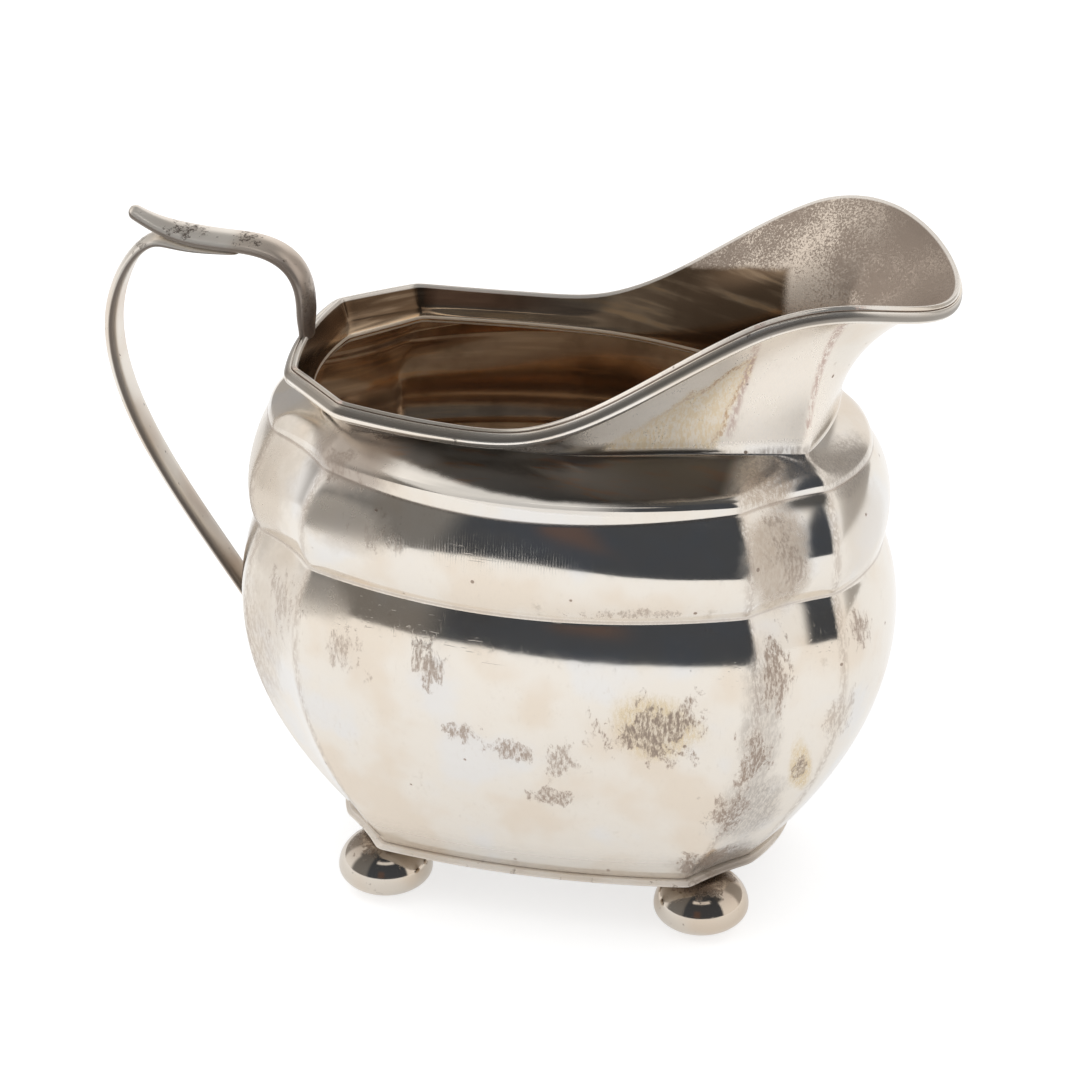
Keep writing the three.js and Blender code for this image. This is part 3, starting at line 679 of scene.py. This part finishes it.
def rimPoint(stop):
    panel, share, signX, signY = stop
    rim = jugBody["rim"]
    spout = jugSpout
    point = levelPoint(rim, stop)
    if signX > 0:
        reach = spout["reach"] - spout["centre"]
        longRidge = math.radians(spout["longRidge"])
        endRidge = math.radians(spout["endRidge"])
        if panel == "long":
            along = (spout["centre"] + reach * math.cos(longRidge)) * (1 - share) - spout["centre"]
            angle = math.acos(min(max(along / reach, 0), 1))
            point.x = spout["centre"] + along
        else:
            angle = endRidge * share if panel == "end" else blend(endRidge, longRidge, share)
            point.x = spout["centre"] + reach * math.cos(angle)
        point.y = signY * rim["halfWidth"] * math.sin(angle)
    past = max(0, point.x - spout["crest"]) / (spout["reach"] - spout["crest"])
    climb = (spout["crestHeight"] - rim["z"]) * smoothShare(point.x, spout["climbStart"], spout["crest"])
    handle = spout["handleRise"] * smoothShare(-point.x, spout["handleRiseStart"], rim["halfLength"])
    point.z += handle + climb - spout["dip"] * past ** 2
    return point


def ringTangent(ring, k):
    return (ring[(k + 1) % len(ring)] - ring[k - 1]).normalized()


def rimFrame(k):  # along the sheet to its edge, and square to it outwards
    tangent = ringTangent(rimRing, k)
    outward = Vector((tangent.y, -tangent.x, 0)).normalized()
    opening = (rimRing[k].x - jugSpout["climbStart"]) / (jugSpout["reach"] - jugSpout["climbStart"])
    tilt = math.radians(blend(jugSpout["rimTilt"], jugSpout["lipTilt"], min(max(opening, 0), 1)))
    rise = outward * math.sin(tilt) + up * math.cos(tilt)
    return rise, tangent.cross(rise).normalized()


rimRing = [rimPoint(stop) for stop in stops]
rimFrames = [rimFrame(k) for k in range(len(stops))]
wireHeight = beadWire["beadHeight"] + beadWire["reedHeight"]


def rimRow(rise, outward):
    return [rimRing[k] + along * rise + normal * outward for k, (along, normal) in enumerate(rimFrames)]


def curveRows(starts, firstPulls, lastPulls, ends, shares):
    rows = []
    for share in shares:
        left = 1 - share
        rows.append([a * left ** 3 + b * 3 * left ** 2 * share + c * 3 * left * share ** 2 + d * share ** 3
                     for a, b, c, d in zip(starts, firstPulls, lastPulls, ends)])
    return rows


def sideShare(stop):  # 1 on a long side, fading over the corner to the end
    return {"end": 0, "corner": stop[1], "long": 1}[stop[0]]


def shoulderWall(stop):
    walls = jugBody["shoulderWalls"]
    if stop[0] == "long":
        return blend(walls["side"], walls["ridge"], (1 - stop[1]) ** 2)
    return blend(walls["end"], walls["ridge"], sideShare(stop))


def shoulderRows(crease, neck):
    body = jugBody
    ledge = [spot + up * shoulderWall(stop) for spot, stop in zip(crease, stops)]
    rows = [[low.lerp(high, share) for low, high in zip(crease, ledge)] for share in body["wallShares"]]
    starts = []
    ends = []
    for stop, low, high in zip(stops, ledge, neck):
        flat = sideShare(stop)
        outward = Vector((low.x - high.x, low.y - high.y, 0))
        starts.append(low + up * blend(body["shoulderLift"], body["shoulderRoll"], flat))
        ends.append(high - up * body["shoulderTuck"] * (1 - flat) + outward * body["shoulderFlat"] * flat)
    return rows + curveRows(ledge, starts, ends, neck, body["shoulderShares"])


def outsideRows():
    body = jugBody
    tiers = tierRows(body["base"], body["belly"], body["lowerCrease"], body["bellyShares"])
    tiers += tierRows(body["lowerCrease"], body["middle"], body["upperCrease"], body["middleShares"])
    crease = tiers[-1]
    neck = [neckPoint(stop) for stop in stops]
    foot = rimRow(-wireHeight, 0)
    spans = [(low - high).length for low, high in zip(neck, foot)]
    shoulder = shoulderRows(crease, neck)
    flare = curveRows(neck, [p + up * jugSpout["neckPull"] * span for p, span in zip(neck, spans)],
                      [p - sheet[0] * jugSpout["lipPull"] * span
                       for p, span, sheet in zip(foot, spans, rimFrames)],
                      foot, body["flareShares"])
    edge = [rimRow(rise, 0) for rise in body["edgeRises"]]
    return tiers + shoulder, flare, edge


def insideRows(rows):  # the sheet's other face, square to it at every point
    inside = []
    for j, row in enumerate(rows):
        below = rows[max(j - 1, 0)]
        above = rows[min(j + 1, len(rows) - 1)]
        inside.append([spot - ringTangent(row, k).cross(above[k] - below[k]).normalized() * jugBody["wall"]
                       for k, spot in enumerate(row)])
    for spot, low in zip(inside[0], rows[0]):
        spot.z = low.z
    return inside


def makeBody():
    tiers, flare, edge = outsideRows()
    outside = tiers + flare + edge
    inside = insideRows(outside)[::-1]
    bm = bmesh.new()
    nearRim = bm.verts.layers.float.new("nearRim")
    topEdge = bm.verts.layers.float.new("topEdge")
    ridge = bm.verts.layers.float.new("ridge")
    rings = growRings(bm, outside + inside)
    bmesh.ops.bridge_loops(bm, edges=ringEdges(bm, rings[0]) + ringEdges(bm, rings[-1]))
    for j, ring in enumerate(rings):
        row = min(j, len(rings) - 1 - j)
        for vert, stop in zip(ring, stops):
            vert[nearRim] = max((row - len(tiers) + 1) / len(flare), 0)
            vert[topEdge] = int(row == len(outside) - 1)
            vert[ridge] = int(stop[0] != "end" and stop[1] == 0)
    innerVerts = {vert for ring in rings[len(outside):] for vert in ring}
    for face in bm.faces:
        face.material_index = int(all(vert in innerVerts for vert in face.verts))
    finishPiece(bm, "jugBody", ["body_shell"], [silverBody, silverInside])


def makeWire():
    wire = beadWire
    outline = [(-wireHeight, -wire["sunk"], 1), (-wireHeight, wire["back"], wire["footShade"])]  # rise, out, shade
    foot = -wireHeight
    for height, depth, reflectionStripe in ((wire["reedHeight"], wire["reedDepth"], 0),
                                  (wire["beadHeight"], wire["beadDepth"], wire["reflectionStripe"])):
        for i in range(wire["steps"]):
            angle = math.pi * i / wire["steps"]
            rise = foot + height / 2 * (1 - math.cos(angle))
            shade = reflectionStripe if i > wire["steps"] / 2 + 1 else 0
            outline.append((rise, blend(wire["back"], depth, math.sin(angle)), shade if i else wire["footShade"]))
        foot += height
    outline += [(0, wire["back"], wire["topShade"]), (0, -wire["sunk"], 0)]
    bm = bmesh.new()
    paintedShade = bm.verts.layers.float.new("paintedShade")
    rings = growRings(bm, [rimRow(rise, outward) for rise, outward, shade in outline])
    # each ring carries its painted shade and painted reflection stripe as a vertex attribute
    for ring, (rise, outward, shade) in zip(rings, outline):
        for vert in ring:
            vert[paintedShade] = shade
    bmesh.ops.bridge_loops(bm, edges=ringEdges(bm, rings[0]) + ringEdges(bm, rings[-1]))
    finishPiece(bm, "rimWire", ["rim_wire"], [silverWire])


# base plate: an undercut bead, and a small cove up to the foot of the body
moulding = {"bottom": 8.9, "edge": ((0, -1.2), (0, -0.4), (0.3, 0.05), (0.48, 0.55), (0.6, 0.82), (0.75, 0.9),
                                    (0.92, 0.9), (1.05, 0.78), (1.16, 0.6), (1.27, 0.48), (1.4, 0.45),
                                    (1.4, -1.2))}


def makePlate():
    rows = []
    base = jugBody["base"]
    for rise, ledge in moulding["edge"]:
        at = {**base, "halfLength": base["halfLength"] + ledge, "halfWidth": base["halfWidth"] + ledge,
              "z": moulding["bottom"] + rise}
        rows.append([levelPoint(at, stop) for stop in stops])
    bm = bmesh.new()
    rings = growRings(bm, rows)
    for ring in (rings[0], rings[-1]):
        bmesh.ops.edgeloop_fill(bm, edges=ringEdges(bm, ring))
    finishPiece(bm, "basePlate", ["base_plate"], [silverPlate])


# feet: a squashed ball turned from its profile
ballFoot = {"height": 8.9, "radius": 7.1, "equator": 3.7, "pad": 2, "seat": 3, "arcs": 6, "turns": 32,
            "weld": 0.001}


def makeFoot(node):
    ball = ballFoot
    low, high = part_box(node)
    centreX = (middleX(node) - axisX) / mm
    centreY = (low.y + high.y) / 2 / mm
    profile = [(0, 0)]
    for i in range(-ball["arcs"], ball["arcs"] + 1):  # lower arc from the pad, upper arc to the seat
        edge = math.acos((ball["pad"] if i < 0 else ball["seat"]) / ball["radius"])
        reach = ball["equator"] if i < 0 else ball["height"] - ball["equator"]
        angle = edge * i / ball["arcs"]
        height = ball["equator"] + reach * math.sin(angle) / math.sin(edge)
        profile.append((ball["radius"] * math.cos(angle), height))
    profile.append((0, ball["height"]))
    bm = bmesh.new()
    verts = [bm.verts.new((x, 0, z)) for x, z in profile]
    edges = [bm.edges.new(pair) for pair in zip(verts, verts[1:])]
    bmesh.ops.spin(bm, geom=verts + edges, cent=(0, 0, 0), axis=up, angle=math.tau, steps=ball["turns"],
                   use_merge=True)
    bmesh.ops.remove_doubles(bm, verts=bm.verts[:], dist=ball["weld"])
    bmesh.ops.translate(bm, verts=bm.verts[:], vec=(centreX, centreY, 0))
    name = node.title().replace("_", "")
    finishPiece(bm, "f" + name[1:], [node], [silverFeet])


# handle: the bar that stands on the rim, and the strap whose thin tongue lies under it
thumbBar = {"width": 5.6, "thickness": 2.5, "inset": 0.4, "height": 95.5, "bendDrop": 9, "bendReach": 10,
            "reach": 26.6, "rise": 3.4, "pull": 8, "curl": 5.6, "angle": 30, "taper": 11, "tipWidth": 3,
            "tipThickness": 1.9, "tipRound": 1.1, "tipBlunt": 0.06, "sunk": 1.0, "rootRise": 1.3,
            "solder": -0.2, "solderFrom": 0.8, "solderRise": 4, "bendPull": 2 / 3, "bendSteps": 9,
            "curlSteps": 14, "stemShares": (0, 0.12, 0.3, 0.5, 0.75), "tipShares": (0.3, 0.55, 0.75, 0.9, 1)}
loopStrap = {"width": 5.4, "thickness": 2.3, "footThickness": 1.7, "tongueInset": 18, "tongueThickness": 0.15,
             "heelInset": 6.4, "heelThickness": 1.5, "reach": 29.78, "reachHeight": 80, "head": 4.4,
             "crown": 7, "drop": 14.5, "footHeight": 35.8, "footRun": 17.5, "footAngle": 33, "sunk": 0.4,
             "letIn": 0.2, "tongueSteps": 5, "crownSteps": 10, "sweepSteps": 16}
# the last two values set the painted shade along the bar's and strap's edges
handleSection = {"round": 0.6, "back": 0.84, "steps": 8, "frontEdge": 1.0, "backEdge": 0.6}


def inHandlePlane(x, z):
    return Vector((x, 0, z))


barRoot = inHandlePlane(thumbBar["inset"] - jugBody["rim"]["halfLength"],
                        jugBody["rim"]["z"] + thumbBar["rootRise"])


def barLine():
    bar = thumbBar
    bendFoot = inHandlePlane(barRoot.x, bar["height"] - bar["bendDrop"])
    corner = inHandlePlane(barRoot.x, bar["height"])
    bendEnd = inHandlePlane(barRoot.x - bar["bendReach"], bar["height"])
    tip = inHandlePlane(barRoot.x - bar["reach"], bar["height"] + bar["rise"])
    angle = math.radians(bar["angle"])
    curl = tip + inHandlePlane(math.cos(angle), -math.sin(angle)) * bar["curl"]
    foot = barRoot - inHandlePlane(0, bar["sunk"])
    line = [foot.lerp(bendFoot, share) for share in bar["stemShares"]]
    pulls = [end.lerp(corner, bar["bendPull"]) for end in (bendFoot, bendEnd)]
    line += interpolate_bezier(bendFoot, *pulls, bendEnd, bar["bendSteps"])[:-1]
    line += interpolate_bezier(bendEnd, bendEnd - inHandlePlane(bar["pull"], 0), curl, tip, bar["curlSteps"])
    line[-1:] = [line[-2].lerp(tip, share) for share in bar["tipShares"]]
    return line


def lineTangent(line, i):
    return (line[min(i + 1, len(line) - 1)] - line[max(i - 1, 0)]).normalized()


def distancesToEnd(line):
    left = [0.0]
    for a, b in zip(line[::-1], line[-2::-1]):
        left.append(left[-1] + (a - b).length)
    return left[::-1]


def sectionRow(centre, along, width, thickness):
    face = Vector((along.z, 0, -along.x))
    steps = handleSection["steps"]
    spots = []
    for i in range(steps + 1):
        angle = math.pi * i / steps
        out = thickness * (0.5 - handleSection["round"] + handleSection["round"] * math.sin(angle))
        spots.append((-width / 2 * math.cos(angle), out))
    for side in (1, 0, -1):
        spots.append((side * width / 2 * handleSection["back"], -thickness / 2))
    return [centre + face * out + Vector((0, across, 0)) for across, out in spots]


def growBar(rows):  # closed at both ends, with painted shade on the edges along its flat back
    bm = bmesh.new()
    paintedShade = bm.verts.layers.float.new("paintedShade")
    rings = growRings(bm, rows)
    steps = handleSection["steps"]
    edgeShades = {0: handleSection["frontEdge"], steps: handleSection["frontEdge"],
                  steps + 1: handleSection["backEdge"], steps + 3: handleSection["backEdge"]}
    for ring in rings:
        for k, vert in enumerate(ring):
            vert[paintedShade] = edgeShades.get(k, 0)
    for ring in (rings[0], rings[-1]):
        bmesh.ops.edgeloop_fill(bm, edges=ringEdges(bm, ring))
    return bm


def barThickness(toTip):
    return blend(thumbBar["tipThickness"], thumbBar["thickness"], smoothShare(toTip, 0, thumbBar["taper"]))


def makeBar():
    bar = thumbBar
    line = barLine()
    rows = []
    for i, toTip in enumerate(distancesToEnd(line)):
        rounding = math.sqrt(max(1 - max(1 - toTip / bar["tipRound"], 0) ** 2, bar["tipBlunt"]))
        fromRoot = (line[i] - line[0]).length
        rounding += bar["solder"] * (1 - smoothShare(fromRoot, bar["solderFrom"], bar["solderRise"]))
        width = blend(bar["tipWidth"], bar["width"], smoothShare(toTip, 0, bar["taper"])) * rounding
        rows.append(sectionRow(line[i], lineTangent(line, i), width, barThickness(toTip) * rounding))
    finishPiece(growBar(rows), "handleBar", ["handle_bar"], [silverHandle])


def pointFromTip(line, inset):
    left = distancesToEnd(line)
    i = max(k for k in range(len(line)) if left[k] >= inset)
    share = (left[i] - inset) / (left[i] - left[i + 1])
    return line[i].lerp(line[i + 1], share), (line[i + 1] - line[i]).normalized()


def strapRows():
    strap = loopStrap
    bar = barLine()
    line = []
    thicknesses = []
    for i in range(strap["tongueSteps"] + 1):  # tongue along the bar's underside
        share = i / strap["tongueSteps"]
        inset = blend(strap["tongueInset"], strap["heelInset"], share)
        thickness = blend(strap["tongueThickness"], strap["heelThickness"], share)
        spot, along = pointFromTip(bar, inset)
        depth = barThickness(inset) / 2 + thickness / 2 - strap["letIn"]
        line.append(spot + inHandlePlane(-along.z, along.x) * depth)
        thicknesses.append(thickness)
    heel = line[-1]
    pull = (line[-1] - line[-2]).normalized() * strap["head"]
    widest = inHandlePlane(barRoot.x - strap["reach"], strap["reachHeight"])
    belly = jugBody["belly"]
    base = jugBody["base"]
    fall = ((strap["footHeight"] - belly["z"]) / (base["z"] - belly["z"])) ** 2
    wallX = -blend(belly["halfLength"], base["halfLength"], fall)
    foot = inHandlePlane(wallX + strap["sunk"], strap["footHeight"])
    angle = math.radians(strap["footAngle"])
    run = inHandlePlane(-math.sin(angle), math.cos(angle)) * strap["footRun"]
    top = widest + inHandlePlane(0, strap["crown"])
    low = widest - inHandlePlane(0, strap["drop"])
    crown = interpolate_bezier(heel, heel + pull, top, widest, strap["crownSteps"])[1:]
    sweep = interpolate_bezier(widest, low, foot + run, foot, strap["sweepSteps"])[1:]
    for arc, first, last in ((crown, "heelThickness", "thickness"), (sweep, "thickness", "footThickness")):
        for i, spot in enumerate(arc):
            line.append(spot)
            thicknesses.append(blend(strap[first], strap[last], smoothShare(i, -1, len(arc) - 1)))
    return [sectionRow(spot, lineTangent(line, i), strap["width"], thicknesses[i])
            for i, spot in enumerate(line)]


def makeStrap():
    finishPiece(growBar(strapRows()), "handleStrap", ["handle_strap"], [silverHandle])


makeBody()
makeWire()
makePlate()
makeBar()
makeStrap()
for node in ("foot_spout_left", "foot_spout_right", "foot_handle_left", "foot_handle_right"):
    makeFoot(node)


# floor, surroundings, lamp and camera
studio = {
    "floorHalfWidth": 0.5,
    "floorFront": -0.325,
    "floorBack": 0.6,
    "floorColour": (0.5, 0.5, 0.5, 1),
    "floorSeen": 0.66,
    "floorMirrored": 0.5,
    "white": (0.95, 0.93, 0.91),
    "ceiling": (0.095, 0.094, 0.093),
    "softbox": (1.0, 0.98, 0.96),
    "dark": (0.06, 0.066, 0.077),
    "russet": (0.115, 0.078, 0.066),
    "grey": (0.2, 0.195, 0.19),
    "corner": (0.42, 0.4, 0.38),
    "lampSpot": (-0.35, -0.25, 0.75),
    "lampSize": 0.45,
    "lampPower": 0.9,
    "lampAimHeight": 0.05,
    "cameraSpot": (196.62, -799.39, 467.91),
    "cameraAim": (-4.302, 0, 52.36),
    "lens": 209.82,
    "sensor": 36,
    "clipEnd": 10,
}


def makeFloor():
    bm = bmesh.new()
    bmesh.ops.create_grid(bm, x_segments=1, y_segments=1, size=1)
    depth = studio["floorBack"] - studio["floorFront"]
    bmesh.ops.scale(bm, vec=(studio["floorHalfWidth"], depth / 2, 1), verts=bm.verts[:])
    bmesh.ops.translate(bm, vec=(0, studio["floorFront"] + depth / 2, 0), verts=bm.verts[:])
    mesh = bpy.data.meshes.new("floor")
    bm.to_mesh(mesh)
    bm.free()
    floor = bpy.data.objects.new("floor", mesh)
    scene.collection.objects.link(floor)
    material = bpy.data.materials.new("paleFloor")
    material.use_nodes = True
    material.node_tree.nodes.clear()
    inHand["tree"] = material.node_tree
    paths = put("ShaderNodeLightPath")
    seen = times(paths.outputs["Is Glossy Ray"], studio["floorMirrored"])
    seen = scaled(paths.outputs["Is Camera Ray"], studio["floorSeen"], seen)
    matte = put("ShaderNodeBsdfDiffuse", {"Color": studio["floorColour"]})
    glow = put("ShaderNodeEmission", {"Color": (1, 1, 1, 1), "Strength": seen})
    both = put("ShaderNodeAddShader", {0: matte.outputs[0], 1: glow.outputs[0]})
    put("ShaderNodeOutputMaterial", {"Surface": both.outputs[0]})
    mesh.materials.append(material)


def makeSurroundings():  # a white tent with a darker room in front, which only the metal mirrors
    world = bpy.data.worlds.new("studio")
    scene.world = world
    world.use_nodes = True
    world.node_tree.nodes.clear()
    inHand["tree"] = world.node_tree
    direction = put("ShaderNodeTexCoord").outputs["Generated"]
    parts = put("ShaderNodeSeparateXYZ", {0: direction})
    toFront = times(parts.outputs[1], -1.0)
    azimuth = maths("DEGREES", maths("ARCTAN2", parts.outputs[0], toFront))
    elevation = maths("DEGREES", maths("ARCSINE", parts.outputs[2]))
    colour = studio["white"]
    patches = [  # colour, azimuth from and to with softness, elevation from and to with softness
        ("ceiling", (-400, 400, 1, 1), (66, 100, 12, 1)),
        ("ceiling", (-80, 80, 12, 12), (46, 100, 10, 1)),
        ("ceiling", (140, 400, 14, 1), (42, 100, 10, 1)),
        ("ceiling", (-400, -140, 1, 14), (42, 100, 10, 1)),
        ("grey", (-70, -28, 12, 5), (-40, 60, 1, 10)),
        ("corner", (-150, -115, 10, 10), (-4, 40, 5, 20)),
        ("corner", (120, 148, 10, 10), (-4, 40, 5, 20)),
        ("dark", (-26, 64, 10, 6), (-40, 60, 1, 10)),
        ("russet", (0, 6, 8, 10), (6, 18, 8, 12)),
        ("softbox", (-12, 40, 6, 6), (47, 53, 2, 2)),
    ]
    for name, across, upward in patches:
        mask = times(window(azimuth, *across), window(elevation, *upward))
        colour = mixColour(mask, colour, studio[name])
    paths = put("ShaderNodeLightPath")
    mirrored = put("ShaderNodeBackground", {"Color": colour})
    plain = put("ShaderNodeBackground", {"Color": (1, 1, 1, 1)})
    mix = put("ShaderNodeMixShader", {0: paths.outputs["Is Glossy Ray"], 1: plain.outputs[0],
                                      2: mirrored.outputs[0]})
    put("ShaderNodeOutputWorld", {"Surface": mix.outputs[0]})


def makeLamp():
    data = bpy.data.lights.new("softLamp", "AREA")
    data.size = studio["lampSize"]
    data.energy = studio["lampPower"]
    lamp = bpy.data.objects.new("softLamp", data)
    lamp.location = studio["lampSpot"]
    lamp.visible_glossy = False
    aim = Vector((axisX, 0, studio["lampAimHeight"])) - lamp.location
    lamp.rotation_euler = aim.to_track_quat("-Z", "Y").to_euler()
    scene.collection.objects.link(lamp)


def makeCamera():
    data = bpy.data.cameras.new("camera")
    data.lens = studio["lens"]
    data.sensor_width = studio["sensor"]
    data.clip_end = studio["clipEnd"]
    camera = bpy.data.objects.new("camera", data)
    camera.location = toFrame @ Vector(studio["cameraSpot"])
    aim = toFrame @ Vector(studio["cameraAim"]) - camera.location
    camera.rotation_euler = aim.to_track_quat("-Z", "Y").to_euler()
    scene.collection.objects.link(camera)
    scene.camera = camera


makeFloor()
makeSurroundings()
makeLamp()
makeCamera()
scene.view_settings.view_transform = "Standard"
print("studio set")
